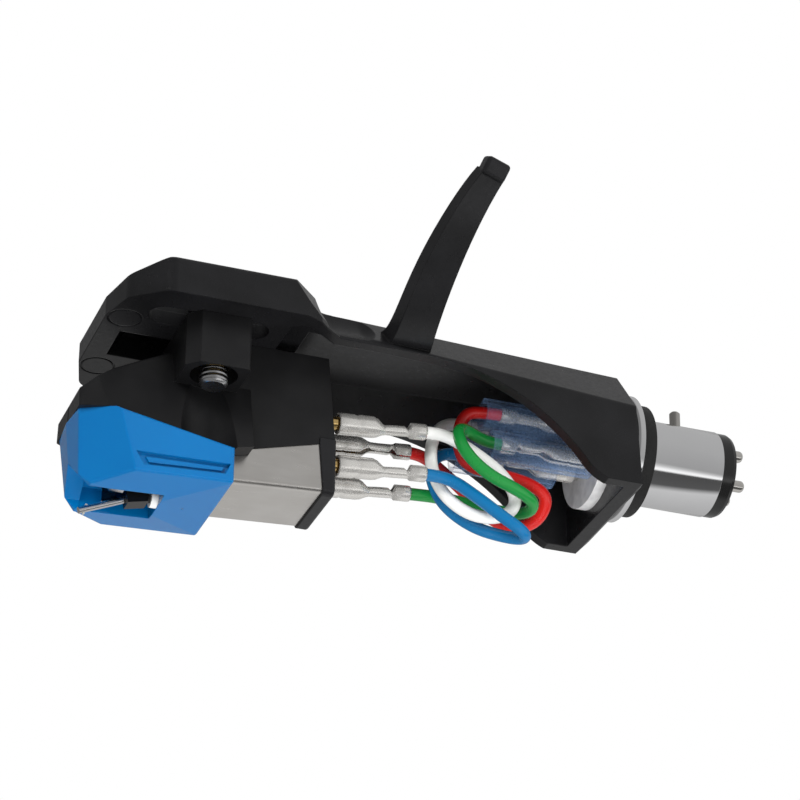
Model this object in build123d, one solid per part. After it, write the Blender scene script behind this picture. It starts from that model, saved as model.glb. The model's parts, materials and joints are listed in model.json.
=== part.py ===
from build123d import *
import os
from math import cos, radians, sin, tan

# A record-player headshell with its bayonet plug and a half-inch-mount moving-magnet phono cartridge.
# Millimetres. X runs along the plug axis, +X towards the tonearm; +Z is the top of the headshell; the finger
# lift is on the -Y side. The origin is on the plug axis, at the rear face of the rubber gasket.

# --- driving dimensions -----------------------------------------------------------------------------------------
# bayonet plug
PLUG_R = 4.0                 # standard bayonet tube, 8 mm in diameter
PLUG_BORE_R = 3.45
PLUG_WAIST_R = 3.84         # between the gasket and the thicker end
PLUG_WAIST_END_X = 4.9
SHANK_R = 3.6                # of the tube, in the housing's rear wall
CAP_R = 3.93
POST_END_X = -8.9            # the contacts' inner ends
PLUG_END_X = 7.3             # where the tube stops and the insulator's end cap starts
CAP_END_X = 8.7
PIN_TIP_X = 10.2
PIN_PITCH = 3.08             # four contacts on a square
PIN_R = 0.55
PIN_POST_R = 0.35            # the contact inside the insulator and out of its front face
GUIDE_X = 4.2
GUIDE_R = 0.5
GUIDE_TOP_Z = 5.9
FLANGE_R = 5.9
FLANGE_FRONT_X = -2.2
FLANGE_REAR_X = -1.35
GASKET_R = 5.2
BLOCK_R = 5.2                # the plug's clamping disc inside the housing
WALL_FRONT_X = -4.1          # inner face of the housing's rear wall
BLOCK_FRONT_X = -5.1

# headshell casting
SEAT_Z = 2.73                # underside of the plate, which the cartridge bears on
TOP_Z = 6.3
CEILING_Z = 5.2              # roof of the channel that the leads run in
PLATE_HALF = 10.8
HOUSING_HALF = 7.8
HOUSING_BOTTOM_Z = -6.4
WALL = 1.2
SLOT_HALF_PITCH = 6.35       # half of the 12.7 mm mounting pitch
SLOT_W = 3.0
SLOT_FRONT_X = -48.6
SLOT_REAR_X = -37.7
LEDGE_HALF = 2.6             # the slots' wider upper part
LEDGE_Z = 4.1

# cartridge
SCREW_X = -42.5
SCREW_R = 1.25
HEAD_Z = 4.55                # underside of the screw head, on its washer
INSERT_R = 1.9
INSERT_BOTTOM_Z = -0.85
BODY_HALF = 3.95
BODY_REAR_X = -31.2
CAP_REAR_X = -30.35
CAP_T = 1.4
EAR_FRONT_X = -45.4
EAR_REAR_X = -39.7
EAR_HALF = 8.5
EAR_BOTTOM_Z = -2.35
SHIELD_BOTTOM_Z = -10.6
TERMINAL_HALF = 2.1
TERMINAL_Z = (-2.65, -6.85)  # upper and lower pair, where they leave the rear face
TERMINAL_X = -30.6
TERMINAL_TILT = 4.5          # degrees that the terminals point up towards the rear
TERMINAL_R = 0.6
TERMINAL_OUT = 4.0

# stylus
PIPE_Z = -12.0
PIPE_R = 0.45
CANTILEVER_R = 0.3
CANTILEVER_ROOT = (-47.6, 0, -12.2)
CANTILEVER_END = (-52.3, 0, -14.2)
TIP_TOP = (-51.6, 0, -13.5)
TIP_POINT = (-51.9, 0, -14.6)

# leads
LEAD_R = 0.57
SLEEVE_R = 1.5
SLEEVE_BORE_R = 1.12
SLEEVE_DROP = 0.25           # a sleeve hangs on its clip
CLIP_R = 0.87

COLOURS = ("white", "red", "blue", "green")
FRONT_CORNER = {"white": (-1, 0), "red": (1, 0), "blue": (-1, 1), "green": (1, 1)}    # side, row of the terminal
REAR_CORNER = {"white": (1, 1), "red": (-1, 1), "blue": (1, -1), "green": (-1, -1)}   # side, up or down at the plug
SLEEVE_FRONT_X = {"white": -16.0, "red": -15.6, "blue": -17.3, "green": -14.9}
SLEEVE_LENGTH = 9.7
REAR_CLIP_X = -5.6           # where a rear clip's barrel starts
BARREL = 3.5                 # a clip's barrel, shoulder, wire crimp, waist and insulation crimp, one after the other
SHOULDER = 1.1
WIRE_CRIMP = 1.75
WAIST = 0.5
GRIP_CRIMP = 1.5
CLIP_GAP = 0.9               # bare terminal between the rear face and its clip
LEAD_START = 8.25            # along the terminal's axis
LEAD_STRAIGHT = {"white": 11.3, "red": 10.2, "blue": 11.3, "green": 11.3}
LEAD_END_X = -12.9
LEAD_REAR_X = {"white": -17.9, "red": -17.7, "blue": -18.1, "green": -16.4}
# corners of each lead's loose loop
LOOPS = {
    "white": [(-14.2, -2.7, -5.0), (-12.3, -2.5, -8.5), (-16.2, -1.7, -9.7), (-19.8, -0.8, -7.0), (-20.7, -0.6, -2.9)],
    "red": [(-16.7, 3.9, -2.9), (-14.0, 3.1, -6.2), (-12.0, 1.6, -8.6), (-9.4, 0.1, -8.0), (-9.1, -2.0, -5.6),
            (-13.4, -1.4, -4.6), (-17.7, -0.4, -3.3)],
    "green": [(-15.4, 1.2, -6.6), (-11.5, -0.9, -8.4), (-10.9, -3.8, -7.7), (-15.0, -4.9, -7.2), (-18.9, -4.9, -5.0),
              (-19.2, -3.6, -1.1)],
    "blue": [(-15.6, -3.4, -9.0), (-12.3, -3.7, -11.2), (-11.9, -1.3, -10.7), (-16.0, -0.5, -9.9), (-19.4, 0.4, -7.0),
             (-20.0, 0.4, -3.5)],
}


# --- helpers ----------------------------------------------------------------------------------------------------
def rod(radius, start, end, inner=0.0):
    """A round bar, or a tube where inner is given, from one point to another."""
    axis = Plane(origin=start, z_dir=Vector(*end) - Vector(*start))
    length = (Vector(*end) - Vector(*start)).length
    bar = Cylinder(radius, length, align=(Align.CENTER, Align.CENTER, Align.MIN))
    if inner:
        bar -= Cylinder(inner, length, align=(Align.CENTER, Align.CENTER, Align.MIN))
    return axis * bar


def turned(profile):
    """A body of revolution about the X axis from (x, radius) points."""
    return revolve(make_face(Polyline(*[(x, 0, r) for x, r in profile], close=True)), Axis.X)


def block(x0, x1, half_width, z0, z1):
    return Pos((x0 + x1) / 2, 0, (z0 + z1) / 2) * Box(x1 - x0, 2 * half_width, z1 - z0)


def side_slab(outline, half_width):
    """An outline of (x, z) points, extruded both ways from the centre plane."""
    return extrude(make_face(Polyline(*[(x, 0, z) for x, z in outline], close=True)), half_width, (0, 1, 0), both=True)


def plan_slab(outline, z0, z1):
    """An outline of (x, y) points, extruded from one height to another."""
    return extrude(make_face(Polyline(*[(x, y, z0) for x, y in outline], close=True)), z1 - z0, (0, 0, 1))


def mirrored(points):
    """One side's (x, y) points, followed by the other side's in reverse."""
    return points + [(x, -y) for x, y in reversed(points)]


def trim(solid, a, b, c, keep):
    """Cut a solid along the plane through three points and keep the side that holds the fourth."""
    a, b, c, keep = (Vector(*p) for p in (a, b, c, keep))
    normal = (b - a).cross(c - a)
    if normal.dot(keep - a) < 0:
        normal = normal * -1
    return split(solid, bisect_by=Plane(origin=a, z_dir=normal), keep=Keep.TOP)


def trim_pair(solid, a, b, c, keep):
    """The same cut on both sides of the centre plane."""
    flip = lambda p: (p[0], -p[1], p[2])
    return trim(trim(solid, a, b, c, keep), flip(a), flip(b), flip(c), flip(keep))


def both_sides(solid):
    return solid + mirror(solid, about=Plane.XZ)


def terminal(colour, along, up=0.0):
    """A point on a terminal's axis, measured from the cartridge's rear face."""
    side, row = FRONT_CORNER[colour]
    angle = radians(TERMINAL_TILT)
    x = TERMINAL_X + along * cos(angle) - up * sin(angle)
    return x, side * TERMINAL_HALF, TERMINAL_Z[row] + along * sin(angle) + up * cos(angle)


def plug_pin(colour, x):
    """A point on the axis of the plug contact that a colour belongs to."""
    side, up = REAR_CORNER[colour]
    return x, side * PIN_PITCH / 2, up * PIN_PITCH / 2


# --- headshell --------------------------------------------------------------------------------------------------
def facet(offset):
    """Three points on the sloping upper side of the arm, moved inwards by an offset."""
    return (-23.0, -5.0 + offset, TOP_Z), (-1.7, -3.7 + offset, TOP_Z), (-14.5, -7.8 + offset, 2.2)


def arm():
    """Neck and plug housing as one solid bar with its lower edge swept down to the rim."""
    heel = ThreePointArc((-8.3, 0, -4.5), (-7.35, 0, -5.6), (-6.0, 0, HOUSING_BOTTOM_Z))
    sweep = ThreePointArc((-23.5, 0, SEAT_Z), (-14.9, 0, 0.7), (-8.3, 0, -4.5))
    front = Polyline((-36, 0, TOP_Z), (-36, 0, SEAT_Z), (-23.5, 0, SEAT_Z))
    rear = Polyline((-6.0, 0, HOUSING_BOTTOM_Z), (FLANGE_FRONT_X, 0, HOUSING_BOTTOM_Z), (FLANGE_FRONT_X, 0, TOP_Z),
                    (-36, 0, TOP_Z))
    solid = extrude(make_face([front, sweep, heel, rear]), HOUSING_HALF, (0, 1, 0), both=True)
    solid = trim_pair(solid, *facet(0), keep=(-10, 0, 0))
    ridges = [e for e in solid.edges() if e.length > 30 and e.center().Z > 2]
    solid = fillet(ridges, 0.5)
    # bevels round the rear end, down to the plug's flange
    solid = trim(solid, (-2.75, 0, TOP_Z), (-2.75, 1, TOP_Z), (FLANGE_FRONT_X, 0, 5.7), (-10, 0, 0))
    solid = trim_pair(solid, (-3.3, -3.8, TOP_Z), (-3.2, -7.7, 1.5), (FLANGE_FRONT_X, -2.9, 5.4), (-10, 0, 0))
    solid = trim_pair(solid, (-3.2, -7.8, 1.5), (-2.75, -7.8, -6.4), (FLANGE_FRONT_X, -5.1, 0), (-10, 0, 0))
    solid = trim(solid, (-2.75, 0, HOUSING_BOTTOM_Z), (-2.75, 1, HOUSING_BOTTOM_Z), (FLANGE_FRONT_X, 0, -5.9),
                 (-10, 0, 0))
    return solid


def arm_hollow():
    """The space inside the neck and the housing, open below."""
    space = block(-33.8, WALL_FRONT_X, HOUSING_HALF - WALL, -8, CEILING_Z)
    return trim_pair(space, *facet(WALL * 1.3), keep=(-10, 0, 0))


def scoop(side):
    """The hollow in one side of the neck, in front of the finger lift's root."""
    bar = Cylinder(4.3, 6.8)
    bar = fillet(bar.edges().filter_by(GeomType.CIRCLE), 2.2)
    return Pos(-30.5, side * 9.7, 6.9) * (Rotation(0, 90, 0) * bar)


def plate():
    """The flat front part that the cartridge is screwed to."""
    half = [(-52.0, -4.5), (-50.95, -8.35), (-47.85, -PLATE_HALF), (-35.3, -PLATE_HALF), (-33.9, -10.1),
            (-33.0, -9.1), (-31.4, -7.8), (-29.5, -7.3)]
    solid = plan_slab(mirrored(half), SEAT_Z, TOP_Z)
    corners = solid.edges().filter_by(Axis.Z).sort_by(Axis.X)
    solid = fillet(corners[2:6], 1.6)
    solid = fillet(solid.faces().sort_by(Axis.Z)[-1].edges(), 0.5)
    solid = trim(solid, (-47.6, 0, TOP_Z), (-47.6, 1, TOP_Z), (-52.0, 0, 4.6), (-40, 0, 4))
    solid = trim_pair(solid, (-35.9, -9.9, TOP_Z), (-32.6, -6.5, TOP_Z), (-33.4, -9.9, SEAT_Z), (-40, 0, 4))
    return solid


def slot(half_width, z0, z1):
    """The pair of long mounting slots at one half width, between two heights."""
    front, rear = SLOT_FRONT_X + SLOT_W / 2, SLOT_REAR_X - SLOT_W / 2
    shape = Pos((front + rear) / 2, 0, 0) * SlotCenterToCenter(rear - front, 2 * half_width)
    one = Pos(0, SLOT_HALF_PITCH, z0) * extrude(shape, z1 - z0)
    return both_sides(one)


def ejector_mark(x, y, z):
    """The shallow ring that a die-casting ejector pin leaves."""
    return Pos(x, y, z) * (Cylinder(1.56, 0.2) - Cylinder(1.4, 0.2))


def finger_lift():
    """The curved blade that the hand lifts the arm by, swept out and up from the neck."""
    # centre of the lower face, width, thickness and heading, from the root to the tip
    stations = [((-24.7, -6.6, 3.3), 4.1, 1.9, (0, -1, 0.25)), ((-24.9, -10.6, 4.5), 3.4, 1.4, (0, -1, 0.7)),
                ((-24.35, -14.4, 7.9), 3.1, 1.3, (0.1, -0.75, 0.85)), ((-23.3, -17.1, 11.2), 2.7, 1.3, (0.2, -0.6, 1)),
                ((-22.4, -18.6, 13.3), 2.4, 1.3, (0.25, -0.55, 1)), ((-21.45, -19.8, 15.0), 2.05, 1.3, (0.35, -0.6, 1))]
    sections = []
    for centre, width, thick, heading in stations:
        half = width / 2
        outline = make_face(Polyline((-half, 0), (half, 0), (half, thick), (-half - 0.4, thick), close=True))
        sections.append(Plane(origin=centre, x_dir=(1, 0, 0), z_dir=heading) * outline)
    blade = loft(sections)
    tip, heading = stations[-1][0], stations[-1][3]
    knob = fillet(Box(2.3, 1.75, 1.7).edges(), 0.35)
    return blade + Plane(origin=tip, x_dir=(1, 0, 0), z_dir=heading) * (Pos(-0.15, 0.5, 0.35) * knob)


def headshell_body():
    solid = plate() + arm()
    solid -= scoop(-1)
    solid -= scoop(1)
    solid += finger_lift()
    solid -= arm_hollow()
    # relief behind the seat, where the channel opens out of the plate
    relief = mirrored([(-36.3, -3.0), (-36.1, -8.4), (-34.6, -8.9), (-31.6, -6.6)])
    solid -= plan_slab(relief, SEAT_Z - 0.1, SEAT_Z + 1.1)
    # weight-saving pocket between the slots, with a sloping front
    solid -= side_slab([(-50.1, SEAT_Z - 0.1), (-48.7, 5.0), (-38.5, 5.0), (-38.5, SEAT_Z - 0.1)], 2.25)
    solid -= slot(SLOT_W / 2, SEAT_Z - 1, TOP_Z + 1)
    solid -= slot(LEDGE_HALF, LEDGE_Z, TOP_Z + 1)
    for y in (-4.62, 4.62):
        solid -= ejector_mark(-50.25, y, SEAT_Z)
    solid -= rod(SHANK_R, (WALL_FRONT_X - 0.1, 0, 0), (FLANGE_FRONT_X + 0.1, 0, 0))
    # turned seat for the clamping disc
    solid -= rod(BLOCK_R + 0.03, (BLOCK_FRONT_X - 1.2, 0, 0), (WALL_FRONT_X, 0, 0))
    return solid


# --- bayonet plug -----------------------------------------------------------------------------------------------
def connector_tube():
    """Bright tube with its flange and the shank that holds it in the housing's rear wall."""
    profile = [(WALL_FRONT_X, SHANK_R), (FLANGE_FRONT_X, SHANK_R), (FLANGE_FRONT_X, FLANGE_R),
               (FLANGE_REAR_X, FLANGE_R), (FLANGE_REAR_X, PLUG_WAIST_R), (PLUG_WAIST_END_X, PLUG_WAIST_R),
               (PLUG_WAIST_END_X, PLUG_R), (PLUG_END_X, PLUG_R), (PLUG_END_X, PLUG_BORE_R),
               (WALL_FRONT_X, PLUG_BORE_R)]
    return turned(profile) - rod(GUIDE_R, (GUIDE_X, 0, 0), (GUIDE_X, 0, 5))


def rubber_gasket():
    ring = turned([(FLANGE_REAR_X, PLUG_WAIST_R), (FLANGE_REAR_X, GASKET_R), (0, GASKET_R), (0, PLUG_WAIST_R)])
    return ring


def guide_pin():
    """The pin that the tonearm's locking collar pulls on."""
    pin = rod(GUIDE_R, (GUIDE_X, 0, PLUG_BORE_R - 1.0), (GUIDE_X, 0, GUIDE_TOP_Z))
    return chamfer(pin.edges().group_by(Axis.Z)[-1], 0.15)


def plug_insulator():
    """Moulded core that carries the four contacts, with a rounded end cap."""
    profile = [(WALL_FRONT_X, 0.6), (WALL_FRONT_X, PLUG_BORE_R), (PLUG_END_X, PLUG_BORE_R), (PLUG_END_X, CAP_R),
               (CAP_END_X - 0.45, CAP_R), (CAP_END_X - 0.12, CAP_R - 0.15), (CAP_END_X, CAP_R - 0.5),
               (CAP_END_X, 0.6)]
    solid = turned(profile)
    solid -= rod(GUIDE_R, (GUIDE_X, 0, PLUG_BORE_R - 1.0), (GUIDE_X, 0, 5))
    for colour in COLOURS:
        solid -= rod(PIN_POST_R, plug_pin(colour, WALL_FRONT_X - 1), plug_pin(colour, CAP_END_X + 1))
    return solid


def contact_block():
    """Cast disc that clamps the plug from inside the housing, with a hole for each contact."""
    solid = rod(BLOCK_R, (BLOCK_FRONT_X, 0, 0), (WALL_FRONT_X, 0, 0))
    for colour in COLOURS:
        solid -= rod(PIN_R, plug_pin(colour, BLOCK_FRONT_X - 1), plug_pin(colour, WALL_FRONT_X + 1))
    return solid


def contact_pins():
    """Four contacts: a post for the lead's clip, a thin run through the core and a domed outer end."""
    pins = []
    for colour in COLOURS:
        post = rod(PIN_R, plug_pin(colour, POST_END_X), plug_pin(colour, WALL_FRONT_X))
        shank = rod(PIN_POST_R, plug_pin(colour, WALL_FRONT_X), plug_pin(colour, CAP_END_X))
        head = rod(PIN_R, plug_pin(colour, CAP_END_X), plug_pin(colour, PIN_TIP_X))
        head = fillet(head.edges().group_by(Axis.X)[-1], 0.4)
        pins.append(post + shank + head)
    return Compound(children=pins)


# --- leads ------------------------------------------------------------------------------------------------------
def crimp_clip(bore):
    """Crimp terminal along +X from the origin: split barrel, shoulder, wire crimp, waist and insulation crimp."""
    barrel = rod(CLIP_R, (0, 0, 0), (BARREL, 0, 0), bore)
    barrel -= Pos(BARREL / 2, 0, CLIP_R) * Box(BARREL + 1, 0.25, 2 * CLIP_R)
    wire_start = BARREL + SHOULDER
    wire_end = wire_start + WIRE_CRIMP
    grip_start = wire_end + WAIST
    shoulder = Pos(BARREL + SHOULDER / 2, 0, -0.55) * Box(SHOULDER + 0.6, 0.9, 0.3)
    wire = rod(0.48, (wire_start, 0, -0.2), (wire_end, 0, -0.2))
    waist = Pos(wire_end + WAIST / 2, 0, -0.5) * Box(WAIST + 0.6, 0.8, 0.3)
    grip = rod(0.75, (grip_start, 0, 0), (grip_start + GRIP_CRIMP, 0, 0), LEAD_R)
    return barrel + shoulder + wire + waist + grip


def front_clip(colour):
    """The clip on the cartridge's terminal."""
    roll = 150 if colour == "red" else 20
    frame = Plane(origin=terminal(colour, CLIP_GAP), x_dir=Vector(*terminal(colour, 1)) - Vector(*terminal(colour, 0)),
                  z_dir=Vector(*terminal(colour, 0, 1)) - Vector(*terminal(colour, 0)))
    return frame * (Rotation(roll, 0, 0) * crimp_clip(TERMINAL_R))


def rear_clip(colour):
    """The clip on the plug's contact, the other way round."""
    return Pos(*plug_pin(colour, REAR_CLIP_X)) * (Rotation(0, 0, 180) * crimp_clip(PIN_R))


def sleeve(colour):
    """Clear tubing that hangs on a rear clip and keeps it off its neighbours."""
    x, y, z = plug_pin(colour, SLEEVE_FRONT_X[colour])
    start = (x, y, z - SLEEVE_DROP)
    return rod(SLEEVE_R, start, (x + SLEEVE_LENGTH, y, z - SLEEVE_DROP), SLEEVE_BORE_R)


def lead_route(colour):
    """Corners of a lead's run from inside its front clip, round its loop, to inside its rear clip."""
    corners = [terminal(colour, LEAD_START), terminal(colour, LEAD_STRAIGHT[colour])]
    corners += LOOPS[colour]
    corners += [plug_pin(colour, LEAD_REAR_X[colour]), plug_pin(colour, LEAD_END_X)]
    return [Vector(*p) for p in corners]


def corner_radii(corners):
    """A bend radius for every inner corner, as large as the shorter run beside it allows."""
    radii = []
    for before, corner, after in zip(corners, corners[1:], corners[2:]):
        turn = radians((corner - before).get_angle(after - corner))
        radii.append(0.45 * min((corner - before).length, (after - corner).length) / tan(turn / 2))
    return radii


def lead(colour):
    corners = lead_route(colour)
    radii = corner_radii(corners)
    path = FilletPolyline(*corners, radius=radii)
    start = Plane(origin=corners[0], z_dir=corners[1] - corners[0])
    solid = sweep(start * Circle(LEAD_R), path=path)
    section = 3.14159265 * LEAD_R ** 2
    print("lead", colour, "length", round(path.length, 2), "radii", [round(r, 2) for r in radii],
          "volume over section x length", round(solid.volume / (section * path.length), 4))
    return solid


# --- cartridge --------------------------------------------------------------------------------------------------
def flank(z):
    """Half width of the flared front body at a height."""
    return 4.1 + 0.265 * (EAR_BOTTOM_Z - z)


def under_line(x):
    """Height of the boundary between the body and the shield."""
    return -5.9 - 0.26 * (-31.9 - x)


def front_body():
    """The wide front part, flared downwards and faceted round the nose."""
    outline = [(-38.4, SEAT_Z), (EAR_FRONT_X, SEAT_Z), (EAR_FRONT_X, 1.2), (-50.9, -2.0), (-52.3, -3.1),
               (-53.7, -4.3), (-53.7, -6.1), (-51.2, -6.4), (-40.1, -8.6), (-38.4, -8.2)]
    solid = side_slab(outline, 6.2)
    solid = trim_pair(solid, (-40, -flank(SEAT_Z), SEAT_Z), (-50, -flank(SEAT_Z), SEAT_Z), (-45, -flank(-8), -8),
                      (-45, 0, -4))
    solid = trim_pair(solid, (-52.3, -4.3, -3.1), (-51.2, -5.2, -6.4), (-53.7, -3.9, -6.1), (-45, 0, -4))
    return fillet([e for e in solid.edges() if e.center().X < -46 and e.center().Z > -6.0], 0.25)


def cartridge_body():
    solid = side_slab([(-40, SEAT_Z), (BODY_REAR_X, SEAT_Z), (-30.5, -5.3), (-31.9, -5.3), (-31.9, -5.9),
                       (-40, under_line(-40))], BODY_HALF)
    front = front_body()
    for y in (-SLOT_HALF_PITCH, SLOT_HALF_PITCH):
        front -= Pos(SCREW_X, y, EAR_BOTTOM_Z - 5) * Cylinder(2.65, 10)
    front -= side_slab([(-37, under_line(-37)), (-41.4, under_line(-41.4)), (-41.4, -10), (-37, -10)], BODY_HALF)
    solid += front
    ears = block(EAR_FRONT_X, EAR_REAR_X, EAR_HALF, EAR_BOTTOM_Z, SEAT_Z)
    uprights = ears.edges().filter_by(Axis.Z).sort_by(Axis.X)
    ears = chamfer(uprights[:2], 1.1)
    solid += fillet(ears.edges().filter_by(Axis.Z).sort_by(Axis.X)[-2:], 0.4)
    for y in (-SLOT_HALF_PITCH, SLOT_HALF_PITCH):
        solid -= Pos(SCREW_X, y, 0) * Cylinder(INSERT_R, 12)
        solid -= Pos(SCREW_X, y, EAR_BOTTOM_Z) * Cylinder(2.1, 3.0)
    # the thin slit down the middle of the nose
    solid -= block(-55, -53.45, 0.14, -6.2, -4.1)
    for colour in COLOURS:
        solid -= rod(TERMINAL_R, terminal(colour, -3), terminal(colour, 1))
    return solid


def threaded_inserts():
    ring = Cylinder(INSERT_R, SEAT_Z - INSERT_BOTTOM_Z) - Cylinder(SCREW_R, 10)
    at = Pos(SCREW_X, SLOT_HALF_PITCH, (SEAT_Z + INSERT_BOTTOM_Z) / 2)
    return Compound(children=[at * ring, mirror(at * ring, about=Plane.XZ)])


def mounting_screws():
    """Two M2.5 x 8 slotted cheese-head screws."""
    head = Pos(0, 0, HEAD_Z) * Cylinder(2.25, 1.6, align=(Align.CENTER, Align.CENTER, Align.MIN))
    head = fillet(head.edges().group_by(Axis.Z)[-1], 0.3)
    head -= Pos(0, 0, HEAD_Z + 1.6) * Box(5, 0.65, 1.6)
    shank = Pos(0, 0, HEAD_Z - 8.0) * Cylinder(SCREW_R, 8.0, align=(Align.CENTER, Align.CENTER, Align.MIN))
    shank = chamfer(shank.edges().group_by(Axis.Z)[0], 0.25)
    screw = Pos(SCREW_X, SLOT_HALF_PITCH, 0) * (head + shank)
    return Compound(children=[screw, mirror(screw, about=Plane.XZ)])


def screw_washers():
    ring = Cylinder(2.5, HEAD_Z - LEDGE_Z) - Cylinder(SCREW_R, 5)
    at = Pos(SCREW_X, SLOT_HALF_PITCH, (HEAD_Z + LEDGE_Z) / 2)
    return Compound(children=[at * ring, mirror(at * ring, about=Plane.XZ)])


def terminal_cap():
    """Moulded cap behind the shield, which the lower terminals pass through."""
    solid = side_slab([(-31.9, -5.3), (CAP_REAR_X, -5.3), (CAP_REAR_X, -10.7), (-31.48, -10.7), (-31.9, -5.9)], 4.05)
    solid = fillet(solid.edges().filter_by(Axis.X).group_by(Axis.Z)[0], 0.7)
    rim = solid.faces().sort_by(Axis.X)[-1].edges().sort_by(Axis.Z)[:-1]
    solid = fillet(rim, 0.3)
    for colour in ("blue", "green"):
        solid -= rod(TERMINAL_R, terminal(colour, -3), terminal(colour, 1))
    return solid


def terminal_pins():
    """Four gilt pins, each starting inside the body."""
    pins = []
    for colour in COLOURS:
        inner = -1.1 if colour in ("blue", "green") else -2.5
        pin = rod(TERMINAL_R, terminal(colour, inner), terminal(colour, TERMINAL_OUT))
        pins.append(pin)
    return Compound(children=pins)


def coil_shield():
    """Folded metal can round the coils, open towards the body and towards the stylus."""
    outer = side_slab([(-31.9, -5.9), (-31.5, -10.5), (-39.7, -11.0), (-44.0, -11.0), (-44.0, -9.0),
                       (-41.4, under_line(-41.4))], 3.9)
    outer = fillet([e for e in outer.edges() if abs(e.center().Y) > 3.8 and e.center().Z < -10.6 and e.length > 3], 0.55)
    inner = side_slab([(-32.2, -5.5), (-31.85, -10.22), (-39.7, -10.7), (-45.0, -10.7), (-45.0, -5.5)], 3.6)
    return outer - inner


def pole(side):
    """One bent pole piece, from the back of the can to the gap above the magnets."""
    outline = [(-32.0, -9.0), (-32.0, -9.8), (-46.0, -9.8), (-48.75, -11.2), (-48.75, -12.4), (-50.05, -12.4),
               (-50.05, -10.8), (-46.6, -9.0)]
    return Pos(0, side * 1.5, 0) * side_slab(outline, 0.4)


def coil(side):
    """Winding on one pole."""
    winding = rod(1.0, (-40.6, side * 1.5, -9.4), (-36.0, side * 1.5, -9.4))
    return winding - Pos(-38, side * 1.5, -9.4) * Box(10, 0.8, 0.8)


def centre_shield():
    """Thin screen between the two channels, standing on the can's floor."""
    return side_slab([(-33.0, -8.4), (-33.0, -10.28), (-39.7, -10.7), (-43.5, -10.7), (-43.5, -8.7)], 0.1)


# --- stylus unit ------------------------------------------------------------------------------------------------
def stylus_housing():
    """Faceted push-on housing, hollow and open behind and above, with the stylus opening below."""
    side = [(-40.1, -8.6), (-51.2, -6.4), (-53.95, -6.07), (-53.95, -12.9), (-40.1, -12.9)]
    solid = side_slab(side, 5.75)
    inside = (-47, 0, -9)
    solid = trim_pair(solid, (-53.85, 0, -6.1), (-53.55, -3.85, -6.1), (-53.05, -2.4, -12.05), inside)
    solid = trim_pair(solid, (-51.2, -5.2, -6.4), (-49.0, -5.65, -12.4), (-52.05, -3.0, -12.9), inside)
    solid = trim_pair(solid, (-40.05, -5.6, -12.0), (-49.0, -5.65, -12.4), (-52.05, -3.0, -12.9), inside)
    solid = trim(solid, (-45.35, -2.6, -12.8), (-45.35, 2.6, -12.8), (-40.05, 0, -12.0), inside)
    solid = trim(solid, (-53.05, -2.4, -12.05), (-53.05, 2.4, -12.05), (-52.05, 0, -12.9), inside)
    outside = [e for e in solid.edges() if e.center().Z < -6.9 and e.center().X > -53.9]
    outside = [e for e in outside if e.center().Z < -8.7 or e.center().X < -41]
    solid = fillet(outside, 0.3)
    # chamber that the can and the poles enter, and the opening below it
    solid -= side_slab([(-39, -5), (-49.8, -5), (-49.8, -11.3), (-39, -11.3)], 4.45)
    solid -= block(-51.7, -45.4, 2.45, -14, -10.6)
    # front notch, so that the tip can be seen on the record
    notch = make_face(Polyline((-55, -2.4, -14), (-55, -2.4, -12.05), (-55, 0, -9.9), (-55, 2.4, -12.05),
                               (-55, 2.4, -14), close=True))
    solid -= extrude(notch, 3.4, (1, 0, 0))
    # finger grips
    grip = side_slab([(-48.9, -10.5), (-40.5, -10.3), (-40.9, -11.3), (-48.15, -11.7)], 8)
    solid -= grip - block(-60, -30, 5.35, -20, 0)
    pad = side_slab([(-48.0, -10.85), (-41.0, -10.65), (-41.2, -11.0), (-47.7, -11.35)], 5.55)
    solid += pad - block(-60, -30, 5.3, -20, 0)
    solid -= rod(PIPE_R, (-46, 0, PIPE_Z), (-43.0, 0, PIPE_Z))
    return solid


def joint_pipe():
    """Small tube in the housing's floor that the cantilever's suspension is fixed in."""
    return rod(PIPE_R, (-45.4, 0, PIPE_Z), (-43.0, 0, PIPE_Z), 0.25)


def suspension_bush():
    return rod(0.75, (-46.0, 0, PIPE_Z), (-45.4, 0, PIPE_Z))


def damper():
    return rod(0.35, (-46.3, 0, PIPE_Z), (-46.0, 0, PIPE_Z))


def magnet_carrier():
    """Dark block that joins the magnets to the cantilever."""
    solid = side_slab([(-46.3, -11.45), (-46.3, -12.6), (-48.1, -13.0), (-48.3, -12.2), (-47.9, -11.5)], 0.75)
    for side in (-1, 1):
        solid -= rod(0.25, *magnet_ends(side))
    solid -= rod(CANTILEVER_R, CANTILEVER_ROOT, CANTILEVER_END)
    return solid


def magnet_ends(side):
    """Ends of one of the two bar magnets, which lean outwards as a V."""
    return (-46.9, side * 0.35, -12.2), (-47.2, side * 0.6, -11.2)


def magnets():
    return Compound(children=[rod(0.25, *magnet_ends(side)) for side in (-1, 1)])


def cantilever():
    """Aluminium tube, flattened and drilled at the end for the tip."""
    tube = rod(CANTILEVER_R, CANTILEVER_ROOT, CANTILEVER_END)
    return tube - rod(0.13, TIP_TOP, TIP_POINT)


def stylus_tip():
    """The diamond: a shank through the cantilever, ground to a cone."""
    axis = Plane(origin=TIP_TOP, z_dir=Vector(*TIP_POINT) - Vector(*TIP_TOP))
    length = (Vector(*TIP_POINT) - Vector(*TIP_TOP)).length
    shank = Cylinder(0.13, length - 0.25, align=(Align.CENTER, Align.CENTER, Align.MIN))
    cone = Pos(0, 0, length - 0.25) * Cone(0.13, 0.02, 0.25, align=(Align.CENTER, Align.CENTER, Align.MIN))
    return axis * (shank + cone)


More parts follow.
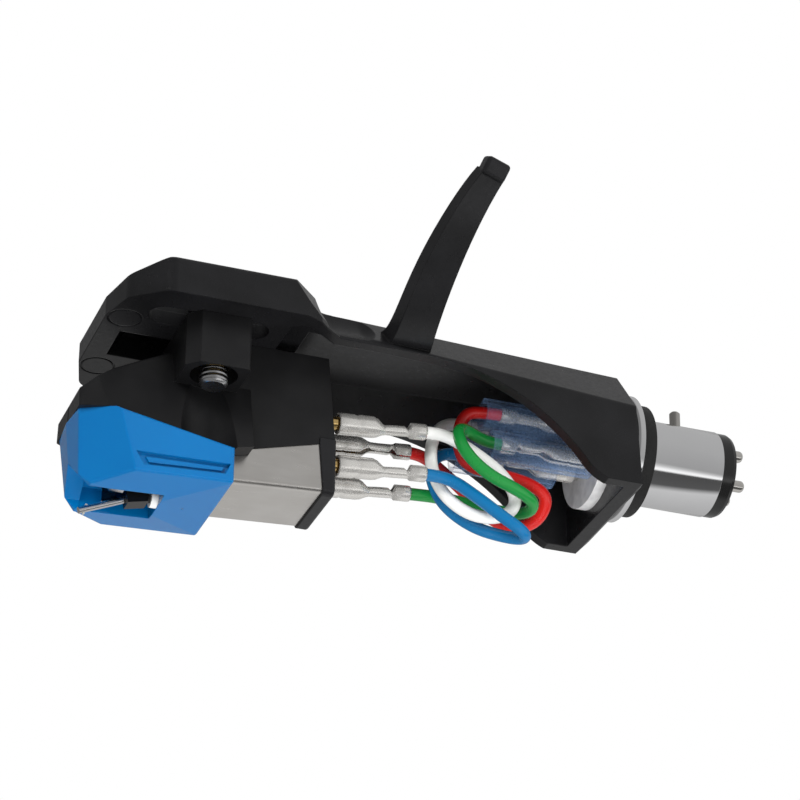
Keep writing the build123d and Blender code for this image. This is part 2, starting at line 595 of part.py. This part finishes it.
# --- every piece ------------------------------------------------------------------------------------------------
parts = {
    "headshell_body": headshell_body(),
    "connector_tube": connector_tube(),
    "rubber_gasket": rubber_gasket(),
    "guide_pin": guide_pin(),
    "plug_insulator": plug_insulator(),
    "contact_block": contact_block(),
    "contact_pins": contact_pins(),
    "cartridge_body": cartridge_body(),
    "threaded_inserts": threaded_inserts(),
    "mounting_screws": mounting_screws(),
    "screw_washers": screw_washers(),
    "terminal_cap": terminal_cap(),
    "terminal_pins": terminal_pins(),
    "coil_shield": coil_shield(),
    "centre_shield": centre_shield(),
    "stylus_housing": stylus_housing(),
    "joint_pipe": joint_pipe(),
    "suspension_bush": suspension_bush(),
    "damper": damper(),
    "magnet_carrier": magnet_carrier(),
    "magnets": magnets(),
    "cantilever": cantilever(),
    "stylus_tip": stylus_tip(),
}
for hand, way in (("right", -1), ("left", 1)):
    parts["pole_" + hand] = pole(way)
    parts["coil_" + hand] = coil(way)
for name in COLOURS:
    parts["front_clip_" + name] = front_clip(name)
    parts["rear_clip_" + name] = rear_clip(name)
    parts["sleeve_" + name] = sleeve(name)
    parts["lead_" + name] = lead(name)

os.makedirs("parts", exist_ok=True)
for name, shape in parts.items():
    shape.label = name
    export_step(shape, "parts/" + name + ".step")
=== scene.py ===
import bpy
import json
import math
from mathutils import Matrix, Vector


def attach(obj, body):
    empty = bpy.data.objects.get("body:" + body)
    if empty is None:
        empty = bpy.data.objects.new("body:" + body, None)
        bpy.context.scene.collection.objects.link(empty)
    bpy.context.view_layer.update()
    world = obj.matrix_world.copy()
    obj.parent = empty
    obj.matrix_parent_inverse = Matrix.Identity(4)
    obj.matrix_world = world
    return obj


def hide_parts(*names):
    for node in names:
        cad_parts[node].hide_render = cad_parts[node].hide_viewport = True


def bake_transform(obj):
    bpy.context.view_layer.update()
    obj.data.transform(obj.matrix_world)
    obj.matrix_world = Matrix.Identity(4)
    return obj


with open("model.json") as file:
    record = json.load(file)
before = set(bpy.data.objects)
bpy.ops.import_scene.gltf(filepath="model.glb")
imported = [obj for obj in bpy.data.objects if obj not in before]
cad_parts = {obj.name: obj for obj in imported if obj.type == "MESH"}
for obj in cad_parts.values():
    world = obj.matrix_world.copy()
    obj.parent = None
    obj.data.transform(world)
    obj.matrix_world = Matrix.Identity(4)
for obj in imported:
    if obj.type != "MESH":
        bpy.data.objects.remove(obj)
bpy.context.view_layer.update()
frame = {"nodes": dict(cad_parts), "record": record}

MM = 0.001


# --- camera -------------------------------------------------------------------------------------------
cam_data = bpy.data.cameras.new("camera")
cam_data.lens = 150.03
cam_data.sensor_width = 36.0
cam_data.shift_x = 0.0658
cam_data.shift_y = 0.0637
cam_data.clip_start = 0.01
cam_data.clip_end = 50
camera = bpy.data.objects.new("camera", cam_data)
right, up, back = (0.94488, -0.32697, 0.01675), (-0.16336, -0.42653, 0.88959), (-0.28374, -0.84330, -0.45644)
position = (-0.112584, -0.251406, -0.140074)
camera.matrix_world = Matrix([[right[i], up[i], back[i], position[i]] for i in range(3)] + [[0, 0, 0, 1]])
bpy.context.scene.collection.objects.link(camera)
bpy.context.scene.camera = camera


# --- leads --------------------------------------------------------------------------------------------
# centre lines in millimetres, from inside the clip on the cartridge to inside the clip on the plug
LEADS = {
    "white": [
        (-22.4, -2.1, -2.0), (-21.2, -2.1, -1.91), (-19.3, -2.1, -1.85), (-16.8, -2.4, -3.2),
        (-14.0, -2.7, -5.2), (-12.6, -2.65, -7.6), (-13.9, -2.2, -9.25), (-16.7, -1.6, -9.3),
        (-19.2, -1.0, -7.4), (-20.3, -0.65, -4.6), (-20.1, -0.2, -1.8), (-18.9, 0.9, 0.5),
        (-17.4, 1.5, 1.5), (-15.0, 1.54, 1.54), (-12.9, 1.54, 1.54)],
    "red": [
        (-22.4, 2.1, -2.0), (-21.3, 2.1, -1.92), (-19.6, 2.45, -2.0), (-17.2, 3.6, -2.8),
        (-15.2, 3.5, -4.5), (-13.5, 2.7, -6.9), (-11.5, 1.3, -8.4), (-9.6, -0.1, -7.8),
        (-9.3, -1.7, -6.0), (-11.4, -1.8, -5.0), (-14.2, -1.25, -4.4), (-17.0, -0.5, -3.7),
        (-17.8, -0.65, -1.2), (-17.4, -1.35, 1.1), (-15.6, -1.54, 1.54), (-12.9, -1.54, 1.54)],
    "blue": [
        (-22.4, -2.1, -6.2), (-21.0, -2.1, -6.1), (-18.9, -2.3, -6.3), (-16.9, -3.0, -7.9),
        (-14.6, -3.5, -9.7), (-12.5, -3.65, -11.0), (-11.9, -2.4, -11.05), (-13.2, -1.05, -10.5),
        (-16.2, -0.5, -9.8), (-18.8, 0.25, -7.7), (-19.9, 0.45, -5.1), (-19.7, 0.75, -3.0),
        (-18.0, 1.45, -1.65), (-15.6, 1.54, -1.54), (-12.9, 1.54, -1.54)],
    "green": [
        (-22.4, 2.1, -6.2), (-21.0, 2.1, -6.1), (-18.6, 1.95, -6.05), (-15.8, 1.3, -6.6),
        (-13.0, -0.1, -7.6), (-11.3, -1.8, -8.1), (-11.4, -3.5, -7.8), (-13.4, -4.5, -7.4),
        (-16.4, -4.9, -6.6), (-18.6, -4.8, -4.7), (-19.0, -3.9, -2.3), (-17.9, -2.7, -1.15),
        (-16.0, -1.75, -1.4), (-14.3, -1.54, -1.54), (-12.9, -1.54, -1.54)],
}
LEAD_D = 1.14


def curve_points(name, corners):
    """A smooth line steered by the corners, as points in metres."""
    data = bpy.data.curves.new(name, "CURVE")
    data.dimensions = "3D"
    line = data.splines.new("NURBS")
    line.points.add(len(corners) - 1)
    for point, corner in zip(line.points, corners):
        point.co = (corner[0] * MM, corner[1] * MM, corner[2] * MM, 1)
    line.order_u = 3
    line.use_endpoint_u = True
    line.resolution_u = 10
    obj = bpy.data.objects.new(name, data)
    bpy.context.scene.collection.objects.link(obj)
    bpy.context.view_layer.update()
    mesh = bpy.data.meshes.new_from_object(obj)
    points = [v.co.copy() for v in mesh.vertices]
    bpy.data.objects.remove(obj)
    bpy.data.meshes.remove(mesh)
    return points


def mesh_object(name, verts, faces):
    mesh = bpy.data.meshes.new(name)
    mesh.from_pydata([tuple(v) for v in verts], [], faces)
    mesh.update()
    for polygon in mesh.polygons:
        polygon.use_smooth = True
    obj = bpy.data.objects.new(name, mesh)
    bpy.context.scene.collection.objects.link(obj)
    return obj


def tube(name, points, radius, sides=20):
    """A round closed tube along points."""
    tangents = []
    for i in range(len(points)):
        before, after = points[max(i - 1, 0)], points[min(i + 1, len(points) - 1)]
        tangents.append((after - before).normalized())
    normal = tangents[0].orthogonal().normalized()
    verts, faces = [], []
    for tangent, centre in zip(tangents, points):
        normal = (normal - tangent * normal.dot(tangent)).normalized()
        side = tangent.cross(normal)
        for k in range(sides):
            a = 2 * math.pi * k / sides
            verts.append(centre + (normal * math.cos(a) + side * math.sin(a)) * radius)
    for start in range(0, (len(points) - 1) * sides, sides):
        for k in range(sides):
            a, b = start + k, start + (k + 1) % sides
            faces.append((a, b, b + sides, a + sides))
    last = (len(points) - 1) * sides
    faces.append(tuple(range(sides))[::-1])
    faces.append(tuple(range(last, last + sides)))
    return mesh_object(name, verts, faces)


lead_objects = {}
for colour, corners in LEADS.items():
    points = curve_points("line_" + colour, corners)
    lead = tube("lead_" + colour + "_insulation", points, LEAD_D / 2 * MM)
    lead_objects[colour] = lead
    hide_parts("lead_" + colour)
    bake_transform(lead)


# --- detailed pieces ----------------------------------------------------------------------------------
def lathe(name, profile, sides=96):
    """A body of revolution about the plug's axis, from a closed outline of (x, radius) in millimetres."""
    verts, faces = [], []
    for x, r in profile:
        for k in range(sides):
            a = 2 * math.pi * k / sides
            verts.append((x * MM, r * math.cos(a) * MM, r * math.sin(a) * MM))
    for i in range(len(profile)):
        n = (i + 1) % len(profile)
        for k in range(sides):
            m = (k + 1) % sides
            faces.append((i * sides + k, i * sides + m, n * sides + m, n * sides + k))
    return mesh_object(name, verts, faces)


# a crimp clip's sections: along, half width, half height, height of the centre, half of the seam's opening
# in radians
CLIP_SECTIONS = [
    # rolled barrel, with a shallow ring pressed into it
    (0.0, 0.84, 0.84, 0.0, 0.16), (0.12, 0.87, 0.87, 0.0, 0.14), (1.5, 0.87, 0.87, 0.0, 0.12),
    (1.75, 0.83, 0.80, 0.0, 0.12), (2.0, 0.87, 0.87, 0.0, 0.12), (3.3, 0.86, 0.86, 0.0, 0.16),
    # sloping shoulder
    (3.7, 0.80, 0.76, -0.05, 0.35), (4.3, 0.60, 0.50, -0.16, 0.5), (4.6, 0.52, 0.46, -0.14, 0.2),
    # wire crimp and waist
    (5.3, 0.50, 0.48, -0.12, 0.1), (6.3, 0.52, 0.48, -0.10, 0.15), (6.6, 0.50, 0.36, -0.20, 0.6),
    # insulation crimp
    (6.8, 0.60, 0.50, -0.10, 0.4), (6.95, 0.73, 0.73, 0.0, 0.12), (8.2, 0.74, 0.74, 0.0, 0.1),
    (8.35, 0.71, 0.71, 0.0, 0.14)]
SHOULDER_X = 4.0             # only what lies before this grows with a fatter barrel
SHEET = 0.13
CLIP_STEPS = 28


def clip_points(place, fat, layer):
    """One face of a clip's rolled sheet, as rows of points round each section; layer is the depth inwards."""
    points = []
    for x, w, h, dz, gap in CLIP_SECTIONS:
        if x < SHOULDER_X:
            w, h = w * fat, h * fat
        for k in range(CLIP_STEPS + 1):
            a = math.pi / 2 + gap + (2 * math.pi - 2 * gap) * k / CLIP_STEPS
            y, z = (w - layer) * math.cos(a), (h - layer) * math.sin(a) + dz
            points.append(place @ Vector((x * MM, y * MM, z * MM)))
    return points


def shell_clip(name, place, fat=1.0):
    """A crimp clip along +X from its origin, as a sheet of metal with its seam open on top."""
    verts = clip_points(place, fat, 0) + clip_points(place, fat, SHEET)
    faces = []
    row = CLIP_STEPS + 1
    half = row * len(CLIP_SECTIONS)
    for i in range(len(CLIP_SECTIONS) - 1):
        for k in range(CLIP_STEPS):
            a = i * row + k
            faces.append((a, a + row, a + row + 1, a + 1))
            faces.append((half + a, half + a + 1, half + a + row + 1, half + a + row))
        # the seam's two edges
        a, b = i * row, i * row + CLIP_STEPS
        faces.append((a, half + a, half + a + row, a + row))
        faces.append((b, b + row, half + b + row, half + b))
    # the two ends
    last = (len(CLIP_SECTIONS) - 1) * row
    for k in range(CLIP_STEPS):
        a, b = k, last + k
        faces.append((a, a + 1, half + a + 1, half + a))
        faces.append((b, half + b, half + b + 1, b + 1))
    return mesh_object(name, verts, faces)


# the plug's tube with its flange, drawn straight: the CAD tube has a slight waist behind the gasket
SHANK_R, FLANGE_R, TUBE_R, BORE_R = 3.6, 5.9, 4.0, 3.46
WALL_X, FLANGE_FRONT_X, FLANGE_REAR_X, TUBE_END_X = -4.1, -2.2, -1.35, 7.3
plug_tube = lathe("plug_tube", [
    (WALL_X, SHANK_R), (FLANGE_FRONT_X, SHANK_R), (FLANGE_FRONT_X, FLANGE_R - 0.1),
    (FLANGE_FRONT_X + 0.1, FLANGE_R), (FLANGE_REAR_X - 0.1, FLANGE_R), (FLANGE_REAR_X, FLANGE_R - 0.1),
    (FLANGE_REAR_X, TUBE_R - 0.01), (0.0, TUBE_R - 0.01), (TUBE_END_X - 0.08, TUBE_R),
    (TUBE_END_X, TUBE_R - 0.06), (TUBE_END_X, BORE_R), (WALL_X, BORE_R)])
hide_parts("connector_tube")
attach(plug_tube, "headshell")

TERMINAL_X, TERMINAL_HALF, TERMINAL_Z = -30.6, 2.1, (-2.65, -6.85)
TERMINAL_TILT = math.radians(4.5)
CLIP_GAP = 0.9               # bare terminal before its clip
FRONT_FAT = 1.14             # the front clips' barrels are this much wider than the rear ones
REAR_CLIP_X, PIN_HALF = -5.6, 1.54


def rolled(degrees):
    return Matrix.Rotation(math.radians(degrees), 4, "X")


clips = []
# side, row of the terminal, roll of the seam
for colour, side, row, roll in (("white", -1, 0, 25), ("red", 1, 0, 150), ("blue", -1, 1, 15),
                                ("green", 1, 1, 30)):
    base = Vector((TERMINAL_X + CLIP_GAP * math.cos(TERMINAL_TILT), side * TERMINAL_HALF,
                   TERMINAL_Z[row] + CLIP_GAP * math.sin(TERMINAL_TILT))) * MM
    place = Matrix.Translation(base) @ Matrix.Rotation(-TERMINAL_TILT, 4, "Y") @ rolled(roll)
    clip = shell_clip("clip_front_" + colour, place, FRONT_FAT)
    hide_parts("front_clip_" + colour)
    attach(clip, "cartridge")
    clips.append(clip)
# side, up or down at the plug, roll of the seam
for colour, side, level, roll in (("white", 1, 1, 10), ("red", -1, 1, 40), ("blue", 1, -1, 160),
                                  ("green", -1, -1, 200)):
    base = Vector((REAR_CLIP_X, side * PIN_HALF, level * PIN_HALF)) * MM
    place = Matrix.Translation(base) @ Matrix.Rotation(math.pi, 4, "Z") @ rolled(roll)
    clip = shell_clip("clip_rear_" + colour, place)
    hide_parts("rear_clip_" + colour)
    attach(clip, "headshell")
    clips.append(clip)


# --- materials ----------------------------------------------------------------------------------------
class Nodes:
    """Short-hand for building one material's nodes."""

    def __init__(self, name):
        self.material = bpy.data.materials.new(name)
        self.material.use_nodes = True
        self.tree = self.material.node_tree
        self.shader = self.tree.nodes["Principled BSDF"]
        self.coords = self.tree.nodes.new("ShaderNodeTexCoord").outputs["Object"]

    def set(self, **values):
        for key, value in values.items():
            self.shader.inputs[key.replace("_", " ")].default_value = value
        return self

    def link(self, source, target):
        self.tree.links.new(source, target)

    def noise(self, scale, detail=4.0, rough=0.55, stretch=None):
        node = self.tree.nodes.new("ShaderNodeTexNoise")
        node.inputs["Scale"].default_value = scale
        node.inputs["Detail"].default_value = detail
        node.inputs["Roughness"].default_value = rough
        source = self.coords
        if stretch:
            mapping = self.tree.nodes.new("ShaderNodeMapping")
            mapping.inputs["Scale"].default_value = stretch
            self.link(self.coords, mapping.inputs["Vector"])
            source = mapping.outputs["Vector"]
        self.link(source, node.inputs["Vector"])
        return node.outputs["Fac"]

    def ramp(self, source, stops):
        node = self.tree.nodes.new("ShaderNodeValToRGB")
        ramp = node.color_ramp
        for i, (place, colour) in enumerate(stops):
            stop = ramp.elements[i] if i < 2 else ramp.elements.new(place)
            stop.position = place
            stop.color = tuple(colour) + (1,)
        self.link(source, node.inputs["Fac"])
        return node.outputs["Color"]

    def spread(self, source, low, high):
        node = self.tree.nodes.new("ShaderNodeMapRange")
        node.inputs["From Min"].default_value = 0.3
        node.inputs["From Max"].default_value = 0.7
        node.inputs["To Min"].default_value = low
        node.inputs["To Max"].default_value = high
        self.link(source, node.inputs["Value"])
        return node.outputs["Result"]

    def colour(self, source, a, b):
        self.link(self.ramp(source, [(0.3, a), (0.7, b)]), self.shader.inputs["Base Color"])
        return self

    def roughness(self, source, low, high):
        self.link(self.spread(source, low, high), self.shader.inputs["Roughness"])
        return self

    def bump(self, source, strength, distance, edge=0.0):
        node = self.tree.nodes.new("ShaderNodeBump")
        if edge:
            rounded = self.tree.nodes.new("ShaderNodeBevel")
            rounded.samples = 6
            rounded.inputs["Radius"].default_value = edge
            self.link(rounded.outputs["Normal"], node.inputs["Normal"])
        node.inputs["Strength"].default_value = strength
        node.inputs["Distance"].default_value = distance
        self.link(source, node.inputs["Height"])
        self.link(node.outputs["Normal"], self.shader.inputs["Normal"])
        return self


def finish_like(name, a, b, rough, grain=900.0, bump=0.15, depth=0.00002, metallic=0.0, stretch=None,
                edge=0.0, **values):
    """A material whose colour, roughness and surface all vary a little.

    a and b are the two colours, rough the range of roughness, grain the noise's scale per metre, bump and
    depth its strength and height, stretch its scale along each axis, and edge the radius of rounded edges,
    both in metres. Other values are set on the shader.
    """
    nodes = Nodes(name)
    nodes.set(Metallic=metallic, **values)
    broad = nodes.noise(grain / 12, 3.0, 0.5)
    fine = nodes.noise(grain, 5.0, 0.6, stretch)
    nodes.colour(broad, a, b)
    nodes.roughness(fine, *rough)
    nodes.bump(fine, bump, depth, edge)
    return nodes.material


def clear_tube(name):
    """Thin clear tubing: nearly invisible face on, pale blue where it is seen edge on."""
    nodes = Nodes(name)
    nodes.set(IOR=1.45)
    nodes.colour(nodes.noise(500), (0.20, 0.36, 0.66), (0.30, 0.46, 0.76))
    nodes.roughness(nodes.noise(900), 0.05, 0.09)
    facing = nodes.tree.nodes.new("ShaderNodeLayerWeight")
    facing.inputs["Blend"].default_value = 0.4
    alpha = [(0.0, (0.06, 0.06, 0.06)), (0.45, (0.18, 0.18, 0.18)), (0.95, (0.9, 0.9, 0.9))]
    nodes.link(nodes.ramp(facing.outputs["Facing"], alpha), nodes.shader.inputs["Alpha"])
    return nodes.material


def threaded(material, pitch, depth):
    """Adds a thread's ridges, at their pitch along Z, to a material."""
    tree = material.node_tree
    wave = tree.nodes.new("ShaderNodeTexWave")
    wave.bands_direction = "Z"
    wave.inputs["Scale"].default_value = 2 * math.pi / (20 * pitch)
    bump = tree.nodes.new("ShaderNodeBump")
    bump.inputs["Distance"].default_value = depth
    tree.links.new(tree.nodes.new("ShaderNodeTexCoord").outputs["Object"], wave.inputs["Vector"])
    tree.links.new(wave.outputs["Fac"], bump.inputs["Height"])
    tree.links.new(bump.outputs["Normal"], tree.nodes["Principled BSDF"].inputs["Normal"])
    return material


MATERIALS = {
    "cast_black": finish_like(
        "cast_black", (0.006, 0.006, 0.0065), (0.010, 0.010, 0.011), (0.26, 0.38), 2600, 0.2, 0.000016,
        edge=0.00016, Specular_IOR_Level=0.36),
    "body_black": finish_like(
        "body_black", (0.006, 0.006, 0.0065), (0.010, 0.010, 0.0105), (0.34, 0.44), 3000, 0.12, 0.00001,
        edge=0.0001, Specular_IOR_Level=0.36),
    "cap_black": finish_like(
        "cap_black", (0.006, 0.006, 0.007), (0.009, 0.009, 0.010), (0.30, 0.4), 3000, 0.1, 0.00001,
        edge=0.0001),
    "blue_plastic": finish_like(
        "blue_plastic", (0.0003, 0.12, 0.34), (0.0005, 0.145, 0.40), (0.13, 0.2), 700, 0.05, 0.00001,
        edge=0.00012, Subsurface_Weight=0.25, Subsurface_Radius=(0.0006, 0.0009, 0.0014),
        Coat_Weight=0.2, Coat_Roughness=0.06, Specular_IOR_Level=0.4),
    "shield_nickel": finish_like(
        "shield_nickel", (0.80, 0.77, 0.73), (0.89, 0.865, 0.83), (0.26, 0.36), 2400, 0.12, 0.00001,
        1.0, (0.12, 1, 1), edge=0.0002),
    "plug_chrome": finish_like(
        "plug_chrome", (0.80, 0.80, 0.81), (0.86, 0.86, 0.87), (0.06, 0.10), 1600, 0.03, 0.000006, 1.0,
        (8, 1, 1)),
    "pin_steel": finish_like(
        "pin_steel", (0.56, 0.54, 0.51), (0.64, 0.62, 0.59), (0.34, 0.42), 2500, 0.1, 0.000006, 1.0),
    "contact_nickel": finish_like(
        "contact_nickel", (0.70, 0.68, 0.64), (0.80, 0.78, 0.75), (0.12, 0.2), 2500, 0.08, 0.000006,
        1.0),
    "clip_nickel": finish_like(
        "clip_nickel", (0.82, 0.80, 0.76), (0.90, 0.88, 0.85), (0.22, 0.32), 1800, 0.05, 0.00001, 0.78),
    "cast_grey": finish_like(
        "cast_grey", (0.62, 0.62, 0.63), (0.92, 0.92, 0.92), (0.4, 0.55), 9000, 0.5, 0.00004, 0.3),
    "insulator_black": finish_like(
        "insulator_black", (0.006, 0.006, 0.006), (0.009, 0.009, 0.009), (0.12, 0.2), 900, 0.05,
        0.00001),
    "gasket_rubber": finish_like(
        "gasket_rubber", (0.008, 0.008, 0.008), (0.014, 0.014, 0.014), (0.5, 0.65), 2600, 0.3, 0.00002),
    "insert_brass": finish_like(
        "insert_brass", (0.62, 0.42, 0.16), (0.74, 0.54, 0.24), (0.2, 0.3), 2000, 0.1, 0.00001, 1.0),
    "screw_steel": threaded(finish_like(
        "screw_steel", (0.66, 0.66, 0.67), (0.78, 0.78, 0.79), (0.24, 0.34), 2200, 0.2, 0.00001, 1.0),
        0.00045, 0.00006),
    "terminal_gold": finish_like(
        "terminal_gold", (0.80, 0.52, 0.18), (0.90, 0.64, 0.27), (0.14, 0.22), 1800, 0.06, 0.00001, 1.0),
    "pole_chrome": finish_like(
        "pole_chrome", (0.72, 0.72, 0.73), (0.82, 0.82, 0.83), (0.12, 0.2), 2000, 0.08, 0.00001, 1.0),
    "coil_copper": finish_like(
        "coil_copper", (0.50, 0.20, 0.08), (0.62, 0.28, 0.12), (0.25, 0.4), 5000, 0.5, 0.00004, 0.8,
        (6, 1, 1)),
    "bush_white": finish_like(
        "bush_white", (0.74, 0.74, 0.72), (0.82, 0.82, 0.80), (0.35, 0.45), 1500, 0.1, 0.00001),
    "damper_rubber": finish_like(
        "damper_rubber", (0.02, 0.02, 0.02), (0.03, 0.03, 0.03), (0.5, 0.6), 2500, 0.2, 0.00001),
    "carrier_black": finish_like(
        "carrier_black", (0.005, 0.005, 0.005), (0.009, 0.009, 0.009), (0.1, 0.18), 2500, 0.3, 0.00001),
    "cantilever_aluminium": finish_like(
        "cantilever_aluminium", (0.74, 0.74, 0.75), (0.82, 0.82, 0.83), (0.2, 0.3), 3000, 0.1, 0.000006,
        1.0),
    "diamond": finish_like(
        "diamond", (0.72, 0.70, 0.64), (0.86, 0.85, 0.80), (0.05, 0.1), 2500, 0.05, 0.000004,
        Transmission_Weight=0.6, IOR=2.4),
    "sleeve_clear": clear_tube("sleeve_clear"),
    "lead_white": finish_like(
        "lead_white", (0.74, 0.74, 0.72), (0.82, 0.82, 0.80), (0.22, 0.32), 600, 0.1, 0.00002,
        Coat_Weight=0.3),
    "lead_red": finish_like(
        "lead_red", (0.46, 0.008, 0.007), (0.54, 0.012, 0.010), (0.2, 0.3), 600, 0.1, 0.00002,
        Coat_Weight=0.3),
    "lead_blue": finish_like(
        "lead_blue", (0.001, 0.11, 0.28), (0.002, 0.14, 0.34), (0.2, 0.3), 600, 0.1, 0.00002,
        Coat_Weight=0.3),
    "lead_green": finish_like(
        "lead_green", (0.006, 0.17, 0.028), (0.010, 0.23, 0.04), (0.2, 0.3), 600, 0.1, 0.00002,
        Coat_Weight=0.3),
}


def paint(obj, material):
    obj.data.materials.clear()
    obj.data.materials.append(material)


slots = {entry["node"]: entry["material_slot"] for entry in frame["record"]["subparts"]}
for node, obj in frame["nodes"].items():
    paint(obj, MATERIALS[slots[node]])
for colour, obj in lead_objects.items():
    paint(obj, MATERIALS["lead_" + colour])
for clip in clips:
    paint(clip, MATERIALS["clip_nickel"])
paint(plug_tube, MATERIALS["plug_chrome"])


# --- setting ------------------------------------------------------------------------------------------
# brightness round the X axis that gloss reflects towards +X, as (part of a turn, level), from +Y through
# below, the front and above: a dark and a bright band lie above the front
LEVELS = [(0.0, 0.45), (0.15, 0.55), (0.235, 0.62), (0.28, 0.10), (0.383, 0.08), (0.395, 1.15),
          (0.405, 1.1), (0.425, 0.62), (0.445, 0.38), (0.62, 0.44), (0.75, 0.45), (1.0, 0.45)]
DIM = 0.20                   # level away from +X
FADE = (0.05, 0.2)           # where the direction's X takes it from dim to the bands


def studio_world():
    """White to the camera; to everything else the bands of LEVELS, so that bright metal shows contrast."""
    world = bpy.data.worlds.new("studio")
    bpy.context.scene.world = world
    world.use_nodes = True
    tree = world.node_tree
    link = tree.links.new

    def math_node(operation, *values):
        node = tree.nodes.new("ShaderNodeMath")
        node.operation = operation
        for i, value in enumerate(values):
            if isinstance(value, bpy.types.NodeSocket):
                link(value, node.inputs[i])
            else:
                node.inputs[i].default_value = value
        return node.outputs["Value"]

    parts = tree.nodes.new("ShaderNodeSeparateXYZ")
    link(tree.nodes.new("ShaderNodeTexCoord").outputs["Generated"], parts.inputs["Vector"])
    forward = math_node("MULTIPLY", parts.outputs["Y"], -1)
    angle = math_node("ARCTAN2", parts.outputs["Z"], forward)
    bands = tree.nodes.new("ShaderNodeValToRGB")
    link(math_node("MULTIPLY_ADD", angle, 1 / (2 * math.pi), 0.5), bands.inputs["Fac"])
    for i, (place, level) in enumerate(LEVELS):
        stop = bands.color_ramp.elements[i] if i < 2 else bands.color_ramp.elements.new(place)
        stop.position = place
        stop.color = (level, level, level, 1)
    side = tree.nodes.new("ShaderNodeMapRange")
    side.inputs["From Min"].default_value = FADE[0]
    side.inputs["From Max"].default_value = FADE[1]
    link(parts.outputs["X"], side.inputs["Value"])
    blend = tree.nodes.new("ShaderNodeMix")
    blend.data_type = "RGBA"
    blend.inputs["A"].default_value = (DIM, DIM, DIM, 1)
    link(side.outputs["Result"], blend.inputs["Factor"])
    link(bands.outputs["Color"], blend.inputs["B"])
    background = tree.nodes["Background"]
    background.inputs["Strength"].default_value = 1.0
    link(blend.outputs["Result"], background.inputs["Color"])
    plain = tree.nodes.new("ShaderNodeBackground")
    plain.inputs["Color"].default_value = (1, 1, 1, 1)
    plain.inputs["Strength"].default_value = 1.0
    mix = tree.nodes.new("ShaderNodeMixShader")
    link(tree.nodes.new("ShaderNodeLightPath").outputs["Is Camera Ray"], mix.inputs["Fac"])
    link(background.outputs["Background"], mix.inputs[1])
    link(plain.outputs["Background"], mix.inputs[2])
    link(mix.outputs["Shader"], tree.nodes["World Output"].inputs["Surface"])


studio_world()

floor_material = Nodes("floor")
floor_material.set(Roughness=0.9, Emission_Color=(1, 1, 1, 1), Emission_Strength=0.35)
floor_material.colour(floor_material.noise(3.0), (0.86, 0.86, 0.86), (0.88, 0.88, 0.88))
# far below the object, because the camera looks up at it
FLOOR_HALF, FLOOR_Z = 3, -0.6
floor = mesh_object("floor", [(x * FLOOR_HALF, y * FLOOR_HALF, FLOOR_Z)
                              for x, y in ((-1, -1), (1, -1), (1, 1), (-1, 1))], [(0, 1, 2, 3)])
paint(floor, floor_material.material)
floor.visible_glossy = False


def area_light(name, place, target, size, power):
    """A square lamp that doesn't show in reflections."""
    data = bpy.data.lights.new(name, "AREA")
    data.size = size
    data.energy = power
    light = bpy.data.objects.new(name, data)
    light.location = place
    light.visible_glossy = False
    light.rotation_euler = (Vector(target) - Vector(place)).to_track_quat("-Z", "Y").to_euler()
    bpy.context.scene.collection.objects.link(light)


middle = (-0.025, 0, 0)
area_light("key", (-0.30, -0.30, 0.22), middle, 0.22, 1.9)
area_light("fill", (0.30, -0.30, -0.02), middle, 0.25, 0.9)
area_light("below", (-0.02, -0.18, -0.36), middle, 0.30, 1.2)
area_light("rim", (0.05, 0.35, 0.28), middle, 0.35, 1.1)
bpy.context.scene.view_settings.view_transform = "Standard"
